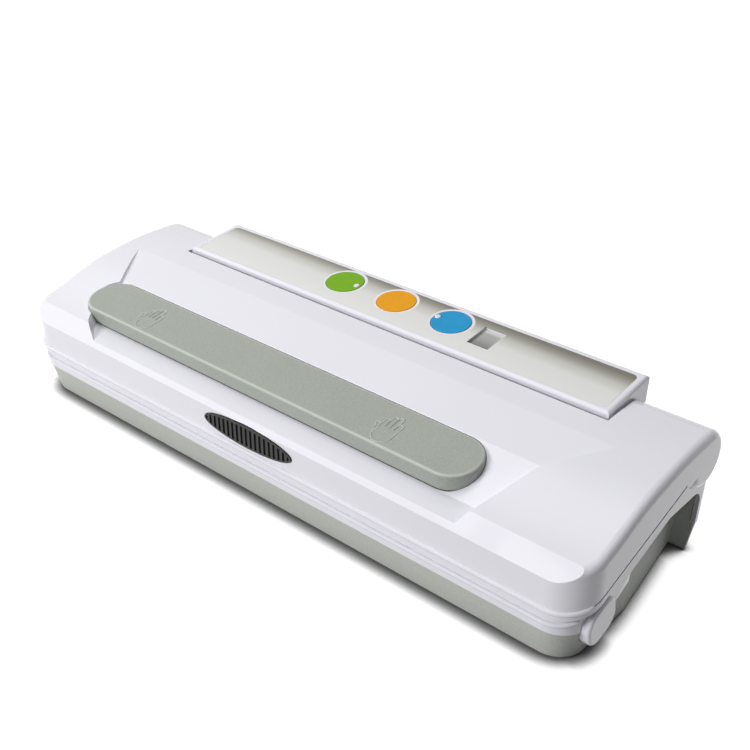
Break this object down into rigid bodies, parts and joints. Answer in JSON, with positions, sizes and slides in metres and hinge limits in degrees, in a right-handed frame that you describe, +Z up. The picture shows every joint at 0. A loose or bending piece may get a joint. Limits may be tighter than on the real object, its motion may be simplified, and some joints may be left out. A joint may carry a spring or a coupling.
{
  "type": "countertop vacuum sealer",
  "caption": "Long low countertop vacuum sealer: white hinged lid with a sage press pad over a grey tray, rear control console, side release buttons and hand-holds.",
  "frame": {"origin": "on the surface that the feet stand on, below the middle of the machine", "axes": "+X along the machine to its right end, -Y to the front edge of the lid, +Z up"},
  "size_m": [0.386, 0.1324, 0.084],
  "materials": {
    "white_gloss": "glossy moulded plastic",
    "tray_grey": "satin moulded plastic",
    "pad_sage": "fine matt grain",
    "grip_black": "matt",
    "liner_white": "satin",
    "film_print": "printed satin film",
    "key_green": "gloss",
    "key_orange": "gloss",
    "key_blue": "gloss",
    "window_clear": "clear window",
    "digit_black": "matt",
    "board_green": "solder mask",
    "foam_black": "soft foam",
    "silicone_grey": "matt",
    "rubber_black": "matt",
    "heater_steel": "bare strip",
    "sheet_tan": "woven coated sheet",
    "bar_phenolic": "satin",
    "steel": "zinc plated",
    "motor_steel": "zinc plated",
    "pump_black": "matt",
    "core_iron": "varnished laminations",
    "hose_clear": "soft tube",
    "light_lens": "pale translucent lens"
  },
  "bodies": {
    "base": {"air_hose": "hose_clear", "base_deck": "white_gloss", "base_gasket": "foam_black", "base_tray": "tray_grey", "button_spring_left": "steel", "button_spring_right": "steel", "case_screws": "steel", "control_board": "board_green", "control_film": "film_print", "cord_gland": "rubber_black", "digit_display": "digit_black", "display_window": "window_clear", "heating_strip": "heater_steel", "hinge_pin_left": "steel", "hinge_pin_right": "steel", "key_switches": "digit_black", "power_board": "board_green", "pump_head": "pump_black", "pump_motor": "motor_steel", "rear_console": "white_gloss", "release_sheet": "sheet_tan", "rubber_feet": "rubber_black", "seal_bar": "bar_phenolic", "transformer": "core_iron", "trough_pan": "liner_white"},
    "lid": {"lid_shell": "white_gloss", "lid_liner": "liner_white", "press_pad": "pad_sage", "front_grip": "grip_black", "lid_gasket": "foam_black", "pressure_strip": "silicone_grey", "lid_hook_left": "liner_white", "lid_hook_right": "liner_white", "liner_screws": "steel"},
    "release_button_left": {"release_button_left": "white_gloss"},
    "release_button_right": {"release_button_right": "white_gloss"},
    "stop_key": {"stop_key": "key_orange"},
    "time_key": {"time_key": "key_blue", "seal_light": "light_lens"},
    "vacuum_key": {"vacuum_key": "key_green", "vacuum_light": "light_lens"}
  },
  "joints": [
    {"name": "lid_hinge", "type": "hinge", "parent": "base", "child": "lid", "pos_m": [0, 0.047, 0.062], "axis": [-1, 0, 0], "range_deg": [0, 75]},
    {"name": "release_button_left_press", "type": "slide", "parent": "base", "child": "release_button_left", "axis": [1, 0, 0], "range_m": [0, 0.003], "stiffness_N_per_m": 400, "deforming": ["button_spring_left"]},
    {"name": "release_button_right_press", "type": "slide", "parent": "base", "child": "release_button_right", "axis": [-1, 0, 0], "range_m": [0, 0.003], "stiffness_N_per_m": 400, "deforming": ["button_spring_right"]},
    {"name": "vacuum_key_press", "type": "slide", "parent": "base", "child": "vacuum_key", "axis": [0, 0.1461, -0.9893], "range_m": [0, 0.0006], "stiffness_N_per_m": 800},
    {"name": "stop_key_press", "type": "slide", "parent": "base", "child": "stop_key", "axis": [0, 0.1461, -0.9893], "range_m": [0, 0.0006], "stiffness_N_per_m": 800},
    {"name": "time_key_press", "type": "slide", "parent": "base", "child": "time_key", "axis": [0, 0.1461, -0.9893], "range_m": [0, 0.0006], "stiffness_N_per_m": 800}
  ]
}
